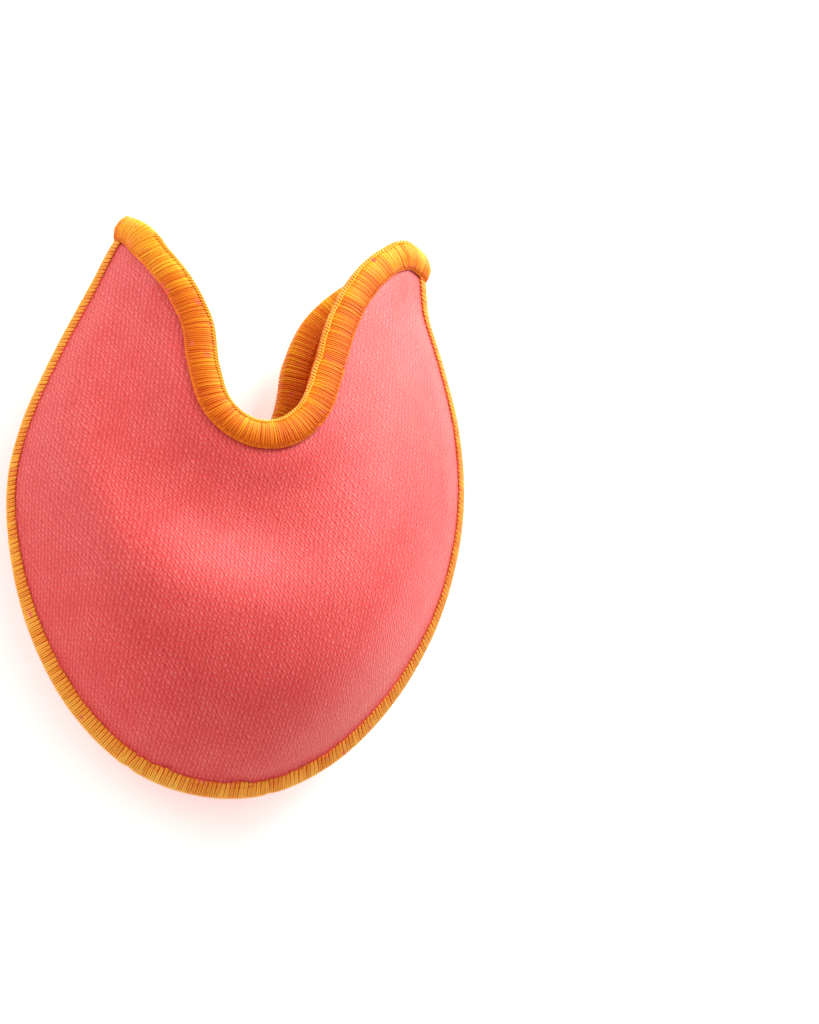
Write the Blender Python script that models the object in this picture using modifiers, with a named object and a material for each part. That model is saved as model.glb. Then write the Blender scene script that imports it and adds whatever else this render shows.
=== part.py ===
"""Pointe shoe toe pad: two domed panels of padded knit, sewn together round the toe and open at a
deep notch between two ears. It lies on its back panel, toe towards -Y, mouth towards +Y, +Z up.
The origin is on the surface under the middle of the back panel's flat underside."""

from collections import namedtuple

import bmesh
import bpy
import numpy as np

# Driving sizes, in metres
PAD_WIDTH = 0.0975           # over the seam edging
PAD_LENGTH = 0.1270          # from the toe to the longer ear's corner, over the edging
ORIGIN_ALONG = 0.0540        # from the toe to the origin
TOE_SEAM_HEIGHT = 0.0155     # the needle line of the seam above the surface, at the toe
EAR_SEAM_HEIGHT = 0.0200     # and at the ears
FRONT_RISE = 0.0160          # the front dome's inner face above the needle line
BACK_DROP = 0.0180           # the back dome's below it, before the surface flattens it
WALL = 0.0030                # padded knit
SEAM_WALL = 0.0009           # the same, pressed in the seam edging
SEAM_END_GAP = 0.0010        # from the mouth edging's border to the seam edging's ends
MOUTH_WALL = 0.0022          # and in the mouth edging
SEAM_EDGING = 0.0042         # width of the thread edging on the seam
MOUTH_EDGING = 0.0062        # and on the mouth
THREAD = 0.0005              # thickness of the thread layer
RIM_BULGE = 0.0009           # the thread's inner side off the panels' cut edges, round the rims
GAP = 0.0003                 # between pieces
NEEDLE_CLEARANCE = 0.0023    # from the seam edging's border to where the domes start
FLATTENING = 0.0015          # how softly the underside turns up from the surface
TOE_BEND = 0.0012            # how softly the panels bend at the needle line, at the toe
EAR_BEND = 0.0045            # and at the ears
MOUTH_LIFT = 0.0032          # the back panel's mouth edge curls up from the surface
DROOP = 54.0                 # the seam's slope outwards and down, in degrees

# Mesh fineness
COLUMNS = 52                 # steps along the seam, and along each mouth edge
INNER_ROWS = 7               # steps from the seam edging to the mouth edging
EDGING_ROWS = 2              # steps across an edging
RIM_STEPS = 4                # steps round an edging's rim
TURN_STEPS = 6               # steps round an ear's corner, from front to back
FINE = 900                   # samples of a smooth line
END_SAMPLES = 9              # of them, at its end, give the slope it runs on with
SEAM_CROWDING = 0.08         # how far the columns crowd to the ears, on the seam
MOUTH_CROWDING = 0.06        # and on the mouth
SHORT_SEAM = 0.25            # most of a short column that the rows in the seam edging take
SHORT_MOUTH = 0.50           # and the rows in the mouth edging
DOME_CROWDING = 1.35         # how far the inner rows crowd to the seam, where the domes are steep
COLUMN_PULL = 0.5            # how far a column keeps its way in from the seam and from the mouth
END_TURN = 0.0090            # over this length an edging's section turns at an ear's corner
MERGE = 0.00001              # points closer than this are one

# The line of the seam's outer side, from the left ear's corner round the toe to the right one.
# Across is a share of half the width, along a share of the length
LinePoint = namedtuple("LinePoint", "across along")
SEAM_LINE = [
    LinePoint(-0.630, 0.956),
    LinePoint(-0.725, 0.872),
    LinePoint(-0.818, 0.770),
    LinePoint(-0.904, 0.665),
    LinePoint(-0.974, 0.556),
    LinePoint(-0.992, 0.462),
    LinePoint(-0.930, 0.340),
    LinePoint(-0.770, 0.197),
    LinePoint(-0.545, 0.088),
    LinePoint(-0.280, 0.021),
    LinePoint(0.000, 0.000),
    LinePoint(0.280, 0.020),
    LinePoint(0.545, 0.087),
    LinePoint(0.775, 0.200),
    LinePoint(0.938, 0.345),
    LinePoint(0.998, 0.475),
    LinePoint(0.994, 0.585),
    LinePoint(0.936, 0.700),
    LinePoint(0.838, 0.805),
    LinePoint(0.730, 0.905),
    LinePoint(0.662, 0.998),
]

# The outer side of each panel's mouth edging between the same two corners
FRONT_MOUTH_LINE = [
    LinePoint(-0.630, 0.956),
    LinePoint(-0.545, 0.921),
    LinePoint(-0.465, 0.873),
    LinePoint(-0.355, 0.812),
    LinePoint(-0.265, 0.742),
    LinePoint(-0.222, 0.668),
    LinePoint(-0.155, 0.606),
    LinePoint(-0.060, 0.585),
    LinePoint(0.040, 0.592),
    LinePoint(0.125, 0.630),
    LinePoint(0.166, 0.695),
    LinePoint(0.205, 0.790),
    LinePoint(0.285, 0.882),
    LinePoint(0.400, 0.952),
    LinePoint(0.525, 0.992),
    LinePoint(0.662, 0.998),
]
BACK_MOUTH_LINE = [
    LinePoint(-0.630, 0.956),
    LinePoint(-0.505, 0.925),
    LinePoint(-0.380, 0.872),
    LinePoint(-0.268, 0.795),
    LinePoint(-0.208, 0.705),
    LinePoint(-0.120, 0.634),
    LinePoint(-0.010, 0.612),
    LinePoint(0.092, 0.636),
    LinePoint(0.145, 0.705),
    LinePoint(0.155, 0.795),
    LinePoint(0.205, 0.868),
    LinePoint(0.300, 0.922),
    LinePoint(0.430, 0.965),
    LinePoint(0.545, 0.992),
    LinePoint(0.662, 0.998),
]

# Sections across the pad. Along runs from 0 at the toe's needle line to 1 at the notch's bottom,
# rise and drop are shares of FRONT_RISE and BACK_DROP, front and back say how square each dome's
# section is, and seam is its height as a share of the way from TOE_SEAM_HEIGHT to EAR_SEAM_HEIGHT
Section = namedtuple("Section", "along rise drop front back seam")
SECTIONS = [
    Section(0.00, 0.00, 0.00, 3.0, 2.6, 0.00),
    Section(0.06, 0.29, 0.29, 3.0, 2.6, 0.01),
    Section(0.15, 0.58, 0.60, 3.0, 2.6, 0.02),
    Section(0.30, 0.86, 0.88, 3.0, 2.7, 0.06),
    Section(0.50, 1.00, 1.00, 3.0, 2.8, 0.15),
    Section(0.75, 0.95, 1.00, 3.0, 2.8, 0.45),
    Section(1.00, 0.80, 0.98, 2.9, 2.7, 0.80),
    Section(1.30, 0.65, 0.90, 2.7, 2.6, 1.00),
    Section(1.75, 0.47, 0.75, 2.5, 2.5, 1.00),
]

PANEL_PINK = (0.80, 0.10, 0.085, 1.0)
THREAD_ORANGE = (0.83, 0.33, 0.02, 1.0)

HALF_WIDTH = PAD_WIDTH / 2
EDGE_DEPTH = RIM_BULGE + THREAD          # from an edging's outer side to the panels' cut edges
SEAM_LEG = SEAM_EDGING - EDGE_DEPTH      # what each edging lays on a panel
MOUTH_LEG = MOUTH_EDGING - EDGE_DEPTH
DROOP_LEVEL = np.cos(np.radians(DROOP))
DROOP_DOWN = np.sin(np.radians(DROOP))
NEEDLE_LINE = (SEAM_LEG + NEEDLE_CLEARANCE) * DROOP_LEVEL


def clear_scene():
    for old in list(bpy.data.objects):
        bpy.data.objects.remove(old)


def unit(vectors):
    return vectors / np.linalg.norm(vectors, axis=-1)[..., None]


def run_along(points):
    """The distance of each point of a line from its start, along the line."""
    return np.concatenate([[0], np.cumsum(np.linalg.norm(np.diff(points, axis=0), axis=1))])


def read_at(where, stations, values):
    """Rows of values, read between stations by straight lines."""
    return np.stack([np.interp(where, stations, values[:, k]) for k in range(values.shape[1])], axis=1)


def tangents(stations, values):
    """Slope at each station: the mean of the slopes on its two sides."""
    slopes = np.diff(values) / np.diff(stations)
    return np.concatenate([slopes[:1], (slopes[1:] + slopes[:-1]) / 2, slopes[-1:]])


def smooth(where, stations, values):
    """A cubic Hermite curve through the values at the stations, level with the end values beyond them."""
    stations, values = np.asarray(stations, float), np.asarray(values, float)
    slopes = tangents(stations, values)
    where = np.clip(where, stations[0], stations[-1])
    left = np.clip(np.searchsorted(stations, where) - 1, 0, len(stations) - 2)
    step = stations[left + 1] - stations[left]
    t = (where - stations[left]) / step
    return ((1 + 2 * t) * (1 - t) ** 2 * values[left] + t * (1 - t) ** 2 * step * slopes[left]
            + t * t * (3 - 2 * t) * values[left + 1] + t * t * (t - 1) * step * slopes[left + 1])


def ease(value, low, high):
    """Turns smoothly from 0 at low to 1 at high."""
    t = np.clip((value - low) / (high - low), 0, 1)
    return t * t * (3 - 2 * t)


def above_zero(value, bend):
    """Values with what is below 0 raised to it, over a soft bend from -bend to bend."""
    return np.where(value > bend, value, np.where(value < -bend, 0.0, (value + bend) ** 2 / (4 * bend)))


def past_end(line, y):
    """How far a line that runs on straight past its last point has come in towards x = 0."""
    before, last = line[-END_SAMPLES], line[-1]
    slope = (abs(before[0]) - abs(last[0])) / (last[1] - before[1])
    return slope * np.maximum(y - last[1], 0)


class Line:
    """An edge of a panel in plan, as fine samples, with the way into the panel at each of them.
    The panel is on the line's left-hand side where inner is 1, and on its right where it is -1."""

    def __init__(self, points, inner):
        self.points = points
        self.inner = inner
        self.run = run_along(points)
        along = unit(np.gradient(points, axis=0))
        self.inward = inner * np.stack([-along[:, 1], along[:, 0]], axis=1)

    @classmethod
    def through(cls, table, inner):
        """A smooth line through a table's points at their real size, evenly sampled."""
        points = np.array([(row.across * HALF_WIDTH, row.along * PAD_LENGTH) for row in table])
        run = run_along(points)
        fine = np.linspace(0, run[-1], FINE)
        curve = np.stack([smooth(fine, run, points[:, k]) for k in (0, 1)], axis=1)
        run = run_along(curve)
        return cls(read_at(np.linspace(0, run[-1], FINE), run, curve), inner)

    def moved_in(self, distance):
        return Line(self.points + distance * self.inward, self.inner)

    def between(self, corners):
        """The line cut, or drawn out, to run from one given corner to the other."""
        first, last = [int(np.linalg.norm(self.points - corner, axis=1).argmin()) for corner in corners]
        return Line(np.concatenate([corners[:1], self.points[first + 1:last], corners[1:]]), self.inner)

    def distance(self, x, y):
        """How far inwards points are: square to the line, or from its end where they are past that."""
        nearest = np.hypot(x[..., None] - self.points[:, 0], y[..., None] - self.points[:, 1]).argmin(axis=-1)
        offset = np.stack([x, y], axis=-1) - self.points[nearest]
        square = (offset * self.inward[nearest]).sum(axis=-1)
        past = (nearest == 0) | (nearest == len(self.points) - 1)
        return np.where(past, np.copysign(np.linalg.norm(offset, axis=-1), square), square)

    def at(self, runs):
        return read_at(runs, self.run, self.points)

    def inward_at(self, runs, end_ways, end=0.0):
        """The ways into the panel at runs along the line: square to it, but turned at a distance
        from its two ends to the given ways."""
        first = ease(runs, end, end + END_TURN)[:, None]
        last = ease(self.run[-1] - runs, end, end + END_TURN)[:, None]
        square = read_at(runs, self.run, self.inward)
        return unit(end_ways[0] * (1 - first) + end_ways[1] * (1 - last) + square * (first + last - 1))

    def ways_back(self):
        """The ways from the line's two ends back along it, over the mouth edging's leg."""
        return unit(self.at(np.array([MOUTH_LEG, self.run[-1] - MOUTH_LEG])) - self.points[[0, -1]])


def ear_corners(seam, mouth):
    """The panels' corners at the two ears: an edge's depth inside both outer lines."""
    seam_ways, mouth_ways = seam.ways_back(), mouth.ways_back()
    sines = np.abs(seam_ways[:, 0] * mouth_ways[:, 1] - seam_ways[:, 1] * mouth_ways[:, 0])[:, None]
    return seam.points[[0, -1]] + EDGE_DEPTH * (seam_ways + mouth_ways) / sines


class Shape:
    """The pad's lines and heights, which every piece is made from. Side is 1 for the front panel
    and -1 for the back one, and the toe is at y = 0 until points are placed by face."""

    def __init__(self):
        seam = Line.through(SEAM_LINE, 1)
        mouths = {1: Line.through(FRONT_MOUTH_LINE, -1), -1: Line.through(BACK_MOUTH_LINE, -1)}
        corners = ear_corners(seam, mouths[1])
        self.seam = seam.moved_in(EDGE_DEPTH).between(corners)
        self.needle = self.seam.moved_in(NEEDLE_LINE).points
        self.mouths = {side: mouths[side].moved_in(EDGE_DEPTH).between(corners) for side in mouths}
        self.toe = int(np.argmin(self.needle[:, 1]))
        self.notch_bottom = self.mouths[1].points[FINE // 4:-FINE // 4, 1].min()

    def column(self, y, name):
        """One column of the table of sections, at each point's place along the pad."""
        toe = self.needle[self.toe, 1]
        along = (y - toe) / (self.notch_bottom - toe)
        return smooth(along, [s.along for s in SECTIONS], [getattr(s, name) for s in SECTIONS])

    def half_width(self, x, y):
        """From the pad's middle to the needle line, on the point's own side."""
        left, right = self.needle[:self.toe + 1][::-1], self.needle[self.toe:]
        widths = [np.interp(y, line[:, 1], np.abs(line[:, 0])) - past_end(line, y) for line in (left, right)]
        return np.maximum(np.where(x < 0, widths[0], widths[1]), GAP)

    def bend(self, y):
        """How softly the panels bend at the needle line."""
        return TOE_BEND + (EAR_BEND - TOE_BEND) * self.column(y, "seam")

    def between_panels(self, x, y):
        """The height of the surface between the two panels: level at the needle line, and drooping
        outside it."""
        seam = TOE_SEAM_HEIGHT + (EAR_SEAM_HEIGHT - TOE_SEAM_HEIGHT) * self.column(y, "seam")
        outside = above_zero(NEEDLE_LINE - self.seam.distance(x, y), self.bend(y))
        return seam - outside * DROOP_DOWN / DROOP_LEVEL

    def wall(self, side, x, y):
        """The panel's thickness: pressed in the edgings, full between them."""
        in_seam = ease(self.seam.distance(x, y), NEEDLE_LINE, NEEDLE_LINE + 2 * SEAM_LEG)
        in_mouth = ease(self.mouths[side].distance(x, y), MOUTH_LEG, 2 * MOUTH_LEG)
        from_seam = SEAM_WALL + (WALL - SEAM_WALL) * in_seam
        from_mouth = MOUTH_WALL + (WALL - MOUTH_WALL) * in_mouth
        return np.minimum(from_seam, from_mouth)

    def spread(self, side, x, y):
        """From the surface between the panels to a panel's inner face: half a gap, and near the
        mouth room for the mouth edging's inner leg."""
        opened = 1 - ease(self.mouths[side].distance(x, y), MOUTH_LEG, 3 * MOUTH_LEG)
        return GAP / 2 + (THREAD + GAP) * opened

    def form(self, side, x, y):
        """The height of a panel's form, without its thickness or spread. Its section is a dome,
        1 - (share of the half width) to a power, inside the needle line."""
        share = np.abs(x) / self.half_width(x, y)
        middle = self.between_panels(x, y)
        if side > 0:
            dome = 1 - share ** self.column(y, "front")
            return middle + above_zero(FRONT_RISE * self.column(y, "rise") * dome, self.bend(y))
        dome = 1 - share ** self.column(y, "back")
        low = middle - above_zero(BACK_DROP * self.column(y, "drop") * dome, self.bend(y))
        floor = WALL + self.spread(side, x, y)
        curl = 1 - ease(self.mouths[side].distance(x, y), 0, 3 * MOUTH_LEG)
        return floor + above_zero(low - floor, FLATTENING) + MOUTH_LIFT * curl * np.maximum(dome, 0)

    def face(self, side, plan, height=0.0):
        """Points at a height outwards from a panel's inner face, square to its form."""
        x, y = plan[..., 0], plan[..., 1]
        slope_x = (self.form(side, x + GAP, y) - self.form(side, x - GAP, y)) / (2 * GAP)
        slope_y = (self.form(side, x, y + GAP) - self.form(side, x, y - GAP)) / (2 * GAP)
        normal = side * unit(np.stack([-slope_x, -slope_y, np.ones_like(x)], axis=-1))
        out = self.spread(side, x, y) + height
        return np.stack([x, y - ORIGIN_ALONG, self.form(side, x, y)], axis=-1) + out[..., None] * normal

    def column_runs(self, side):
        """Where the panels' columns start along the seam and end along the mouth. The first and last
        columns lie along the seam, and are as long as the mouth edging's leg."""
        share = np.linspace(0, 1, COLUMNS + 1)
        crowding = np.sin(2 * np.pi * share)
        seam = share - SEAM_CROWDING * crowding
        mouth = share - MOUTH_CROWDING * crowding
        return (MOUTH_LEG + seam * (self.seam.run[-1] - 2 * MOUTH_LEG), mouth * self.mouths[side].run[-1])


def sheet(name, points):
    """An open surface: a grid primitive whose corners are moved to the given rows of points."""
    rows, columns = points.shape[:2]
    bpy.ops.mesh.primitive_grid_add(x_subdivisions=columns - 1, y_subdivisions=rows - 1)
    piece = bpy.context.object
    piece.name = piece.data.name = name
    piece.data.vertices.foreach_set("co", points.reshape(-1).astype(np.float32))
    piece.data.update()
    return piece


def thicken(piece, thickness, offset):
    """Gives an open surface its wall."""
    solid = piece.modifiers.new("Wall", "SOLIDIFY")
    solid.thickness = thickness
    solid.offset = offset
    return solid


def finish(piece, collection, material):
    """Puts a piece in the pad's collection with its material, shaded smooth."""
    for other in piece.users_collection:
        other.objects.unlink(piece)
    collection.objects.link(piece)
    piece.data.materials.append(material)
    piece.data.shade_smooth()


def curves(starts, start_ways, ends, end_ways, share):
    """Points a share of the way along cubic Hermite curves that leave the starts in their ways and
    meet the ends against theirs."""
    length = COLUMN_PULL * np.linalg.norm(ends - starts, axis=1)[:, None]
    t = share[:, None, None]
    return ((1 + 2 * t) * (1 - t) ** 2 * starts + t * (1 - t) ** 2 * length * start_ways
            + t * t * (3 - 2 * t) * ends - t * t * (t - 1) * length * end_ways)


def panel(shape, side, name):
    """A padded panel. Its columns run from the seam to the mouth: square to each under its edging,
    and on a smooth curve between them. Solidify adds the wall to its inner face."""
    seam_runs, mouth_runs = shape.column_runs(side)
    starts, ends = shape.seam.at(seam_runs), shape.mouths[side].at(mouth_runs)
    back_ways = shape.seam.ways_back()
    start_ways = shape.seam.inward_at(seam_runs, -back_ways, MOUTH_LEG)
    end_ways = shape.mouths[side].inward_at(mouth_runs, back_ways)
    length = np.linalg.norm(ends - starts, axis=1)[:, None]
    seam_step = np.minimum(NEEDLE_LINE, SHORT_SEAM * length) * start_ways
    mouth_step = np.minimum(MOUTH_LEG, SHORT_MOUTH * length) * end_ways
    across = np.linspace(0, 1, EDGING_ROWS + 1)[:, None, None]
    inner = np.linspace(0, 1, INNER_ROWS + 1) ** DOME_CROWDING
    plan = np.concatenate([
        starts + across[:-1] * seam_step,
        curves(starts + seam_step, start_ways, ends + mouth_step, end_ways, inner),
        ends + across[-2::-1] * mouth_step])
    if side < 0:
        plan = plan[:, ::-1]
    piece = sheet(name, shape.face(side, plan))
    solid = thicken(piece, WALL, 1)
    group = piece.vertex_groups.new(name="wall")
    for index, wall in enumerate(shape.wall(side, plan[..., 0], plan[..., 1]).reshape(-1)):
        group.add([index], wall / WALL, "REPLACE")
    solid.vertex_group = group.name
    return piece


def leg(shape, side, edge, inward, width, under):
    """One leg of an edging: rows across it, from its border to the panel's edge, a gap clear of the
    panel's outer face or, where under is true, of its inner face."""
    plan = edge + np.linspace(width, 0, EDGING_ROWS + 1)[:, None, None] * inward
    height = -GAP if under else shape.wall(side, plan[..., 0], plan[..., 1]) + GAP
    return shape.face(side, plan, height)


def half_turn(one, other, outward, steps):
    """Points on half ellipses from one set of points to another, bulging outward. They are round
    where the two are close, and bulge no further than RIM_BULGE."""
    middle, half = (one + other) / 2, (one - other) / 2
    radius = np.linalg.norm(half, axis=-1)[..., None]
    outward = outward - (outward * half).sum(axis=-1)[..., None] * half / radius ** 2
    reach = np.minimum(radius, RIM_BULGE) * unit(outward)
    return [middle + np.cos(turn) * half + np.sin(turn) * reach
            for turn in np.linspace(0, np.pi, steps + 1)[1:-1]]


def rim(upper, lower, inward):
    """Rows round a panel's edge, from the upper leg's last row to the lower leg's."""
    outward = np.concatenate([-inward, np.zeros_like(inward[:, :1])], axis=1)
    return half_turn(upper, lower, outward, RIM_STEPS)


def outward_ways(shape):
    """The ways out of the pad at the seam's two ends: square to it, and drooping."""
    plan = -shape.seam.inward[[0, -1]] * DROOP_LEVEL
    return np.concatenate([plan, np.full((2, 1), -DROOP_DOWN)], axis=1)


def mouth_edging(shape):
    """A U of thread round both mouth edges, in one loop that turns from the front panel to the back
    one over each ear's corner."""
    halves = {}
    for side in (1, -1):
        mouth = shape.mouths[side]
        runs = shape.column_runs(side)[1]
        edge = mouth.at(runs)
        inward = mouth.inward_at(runs, shape.seam.ways_back())
        outer = leg(shape, side, edge, inward, MOUTH_LEG, False)
        inner = leg(shape, side, edge, inward, MOUTH_LEG, True)
        halves[side] = np.concatenate([outer, rim(outer[-1], inner[-1], inward), inner[::-1]])
    front, back = halves[1], halves[-1]
    left_way, right_way = outward_ways(shape)
    right_turn = np.stack(half_turn(front[:, -1], back[:, -1], right_way, TURN_STEPS), axis=1)
    left_turn = np.stack(half_turn(back[:, 0], front[:, 0], left_way, TURN_STEPS), axis=1)
    piece = sheet("mouth_edging", np.concatenate(
        [front, right_turn, back[:, ::-1], left_turn, front[:, :1]], axis=1))
    join_ends(piece)
    thicken(piece, THREAD, 1)
    return piece


def join_ends(piece):
    """Merges a loop's last column with its first."""
    mesh = bmesh.new()
    mesh.from_mesh(piece.data)
    bmesh.ops.remove_doubles(mesh, verts=mesh.verts, dist=MERGE)
    mesh.to_mesh(piece.data)
    mesh.free()


def seam_edging(shape):
    """A U of thread round the two panels' edges, from ear to ear round the toe. It ends a gap from
    the mouth edging."""
    start = MOUTH_LEG + SEAM_END_GAP
    runs = np.clip(shape.column_runs(1)[0], start, shape.seam.run[-1] - start)
    edge = shape.seam.at(runs)
    inward = shape.seam.inward_at(runs, shape.mouths[1].ways_back())
    width = SEAM_LEG * DROOP_LEVEL
    front = leg(shape, 1, edge, inward, width, False)
    back = leg(shape, -1, edge, inward, width, False)
    piece = sheet("seam_edging", np.concatenate(
        [back, rim(back[-1], front[-1], inward), front[::-1]]))
    thicken(piece, THREAD, 1)
    return piece


def material(name, colour, roughness):
    made = bpy.data.materials.new(name)
    made.use_nodes = True
    shader = made.node_tree.nodes["Principled BSDF"]
    shader.inputs["Base Color"].default_value = colour
    shader.inputs["Roughness"].default_value = roughness
    shader.inputs["Metallic"].default_value = 0.0
    return made


def main():
    clear_scene()
    pad = bpy.data.collections.new("toe_pad")
    bpy.context.scene.collection.children.link(pad)
    shape = Shape()
    knit = material("padded_knit", PANEL_PINK, 0.85)
    thread = material("edging_thread", THREAD_ORANGE, 0.55)
    finish(panel(shape, 1, "front_panel"), pad, knit)
    finish(panel(shape, -1, "back_panel"), pad, knit)
    finish(seam_edging(shape), pad, thread)
    finish(mouth_edging(shape), pad, thread)


main()
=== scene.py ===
"""A pointe shoe toe pad: two domed panels of padded knit, with overlock thread wound round the seam
between them and round the mouth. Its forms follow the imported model's formulas, drawn finer."""

from collections import namedtuple

import bpy
import numpy as np
from mathutils import Matrix


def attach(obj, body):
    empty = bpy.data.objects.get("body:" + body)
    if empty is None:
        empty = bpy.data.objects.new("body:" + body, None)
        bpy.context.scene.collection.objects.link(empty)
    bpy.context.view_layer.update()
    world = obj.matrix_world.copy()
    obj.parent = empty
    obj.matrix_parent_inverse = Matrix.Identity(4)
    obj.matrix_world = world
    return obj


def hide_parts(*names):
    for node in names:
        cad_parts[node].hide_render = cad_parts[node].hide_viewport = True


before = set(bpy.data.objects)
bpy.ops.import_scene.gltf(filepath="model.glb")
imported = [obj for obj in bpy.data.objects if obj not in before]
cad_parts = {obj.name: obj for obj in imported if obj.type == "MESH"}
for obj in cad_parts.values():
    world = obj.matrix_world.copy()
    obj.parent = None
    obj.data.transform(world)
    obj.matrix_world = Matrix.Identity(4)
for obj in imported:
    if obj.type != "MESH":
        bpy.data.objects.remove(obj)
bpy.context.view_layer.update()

# Sizes, in metres, as the model has them
PAD_WIDTH = 0.0975
PAD_LENGTH = 0.1270
ORIGIN_ALONG = 0.0540
TOE_SEAM_HEIGHT = 0.0155
EAR_SEAM_HEIGHT = 0.0200
FRONT_RISE = 0.0160
BACK_DROP = 0.0180
WALL = 0.0030
SEAM_WALL = 0.0009
MOUTH_WALL = 0.0022
SEAM_EDGING = 0.0042
MOUTH_EDGING = 0.0062
THREAD = 0.0005
RIM_BULGE = 0.0009
GAP = 0.0003
NEEDLE_CLEARANCE = 0.0023
FLATTENING = 0.0015
TOE_BEND = 0.0012
EAR_BEND = 0.0045
MOUTH_LIFT = 0.0032
DROOP = 54.0
PADDING_RUN = 0.0170         # from an edging's border to the padding's full thickness
DENT = 0.0030                # how deep the padding is pressed in beside the notch
DENT_RUN = 0.0380            # from the mouth's border to the dent's far side
BAND_ROLL = 0.0006           # how far the mouth edging's legs are rounded outwards
EAR_SWELL = 0.0009           # how much fuller the mouth edging is at the ears' tips
EAR_SWELL_RUN = 0.0110       # how far from the tips that reaches
SEAM_TUCK = 0.0008           # how far the seam's threads reach under the mouth's
TOE_WIDENING = 0.25          # how much further in the seam's threads reach at the toe
LEFT_NARROWING = 0.28        # how much less far on the pad's left side

# Fineness of the surfaces
PANEL_COLUMNS = 300          # along a panel's seam
PANEL_ROWS = 70              # between a panel's two edgings
EDGE_ROWS = 7                # under each edging
EDGING_COLUMNS = 360         # along an edging's core
LEG_ROWS = 8                 # across each leg of an edging
RIM_STEPS = 5                # round an edging's rim
TURN_STEPS = 9               # over an ear's tip
NEEDLE_STEPS = 3             # of a needle thread in each column of its edging
CHAIN_STEPS = 10             # in each turn of the looper chain
THREAD_SIDES = 6
LOOP_SIDES = 4
MAP_COLUMNS = 161            # of the grid on which the knit is laid flat
MAP_ROWS = 201
FINE = 700                   # samples of a smooth line
END_SAMPLES = 7              # that give a line's slope at its end
SEAM_CROWDING = 0.08         # of columns towards the ears
MOUTH_CROWDING = 0.06
SHORT_SEAM = 0.25            # the most of a short column that lies under the seam's edging
SHORT_MOUTH = 0.50
DOME_CROWDING = 1.35         # the power that crowds rows towards the seam
COLUMN_PULL = 0.5            # how far a column keeps the ways it has at its ends
END_TURN = 0.0090            # the run over which columns turn at the ears
SEED = 11                    # of the threads' chances

# Threads and knit, in metres
MOUTH_PITCH = 0.00046        # from one wrapped thread to the next
SEAM_PITCH = 0.00094         # from one loop round the seam to the next
THREAD_WIDE = 0.00028        # half a thread's width
THREAD_HIGH = 0.00021        # half its height
CHAIN_SHARE = 0.43           # where the looper chain runs, as a share of the way across
CHAIN_PITCH = 1.6 * MOUTH_PITCH
CHAIN_HALF = 0.00017         # half the looper thread's width
CHAIN_SWAY = 0.00032         # how far its two strands swing to each side
CHAIN_HEIGHT = 0.00024       # how far the looper chain stands off the wrapped threads
CHAIN_SINK = 0.0009          # how far it goes under them at the ears' tips
NEEDLE_HALF = 0.00025        # half the width of a needle thread
SEAM_NEEDLES = (0.12, 0.88)  # where they run, as shares of the way across
THICKNESS_SPREAD = 0.16      # between the thickest thread and the thinnest, as a share of the mean
REACH_SPREAD = 0.012         # how unevenly threads reach their border, as a share of the way across
PAIRING = 0.06               # how far, in pitches, each wrapped thread leans to its pair
TIP_TONE = 0.26              # how much lighter the wrapped threads are at the ears' tips
CORE_TONE = 0.3
NEEDLE_TONE = 0.5
LOOP_HALF = 0.25             # half a loop's width in pitches, between its threads' middles
LOOP_WAIST = 0.26            # how much narrower a loop is at its round ends
LOOP_THREAD = 0.00022        # half the width of a looped thread
LOBE = 0.030                 # depth of a loop's round end, as a share of the way across
WRAP_SHARES = (0.0, 0.07, 0.20, 0.34, 0.42, 0.50, 0.58, 0.66, 0.80, 0.93, 1.0)
LOOP_SHARES = (0.06, 0.38, 0.46, 0.54, 0.62, 0.94)
LOOP_TURNS = (-50, 50)       # the angles of the points on a loop's round end, in degrees
CORE = 0.00016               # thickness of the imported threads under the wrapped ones
WALE = 0.00090               # width of a column of knit stitches
COURSE = 0.00100             # height of a row of them
TWIST = 0.00042              # length of one turn of a thread's twist

# How strongly each wave shows in the knit
Weave = namedtuple("Weave", "columns rows slant other_slant pairs")
WEAVE = Weave(0.36, 0.08, 0.64, 0.17, 0.12)

# Points of the pad's lines from its left ear to its right one: across in half widths, along in lengths
SEAM_LINE = [
    (-0.630, 0.956), (-0.725, 0.872), (-0.818, 0.770), (-0.904, 0.665), (-0.974, 0.556),
    (-0.992, 0.462), (-0.930, 0.340), (-0.770, 0.197), (-0.545, 0.088), (-0.280, 0.021),
    (0.000, 0.000), (0.280, 0.020), (0.545, 0.087), (0.775, 0.200), (0.938, 0.345),
    (0.998, 0.475), (0.994, 0.585), (0.936, 0.700), (0.838, 0.805), (0.730, 0.905),
    (0.662, 0.998),
]
FRONT_MOUTH_LINE = [
    (-0.630, 0.956), (-0.545, 0.921), (-0.465, 0.873), (-0.355, 0.812), (-0.265, 0.742),
    (-0.222, 0.668), (-0.155, 0.606), (-0.060, 0.585), (0.040, 0.592), (0.125, 0.630),
    (0.166, 0.695), (0.205, 0.790), (0.285, 0.882), (0.400, 0.952), (0.525, 0.992),
    (0.662, 0.998),
]
BACK_MOUTH_LINE = [
    (-0.630, 0.956), (-0.505, 0.925), (-0.380, 0.872), (-0.268, 0.795), (-0.208, 0.705),
    (-0.120, 0.634), (-0.010, 0.612), (0.092, 0.636), (0.145, 0.705), (0.155, 0.795),
    (0.205, 0.868), (0.300, 0.922), (0.430, 0.965), (0.545, 0.992), (0.662, 0.998),
]

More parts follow.
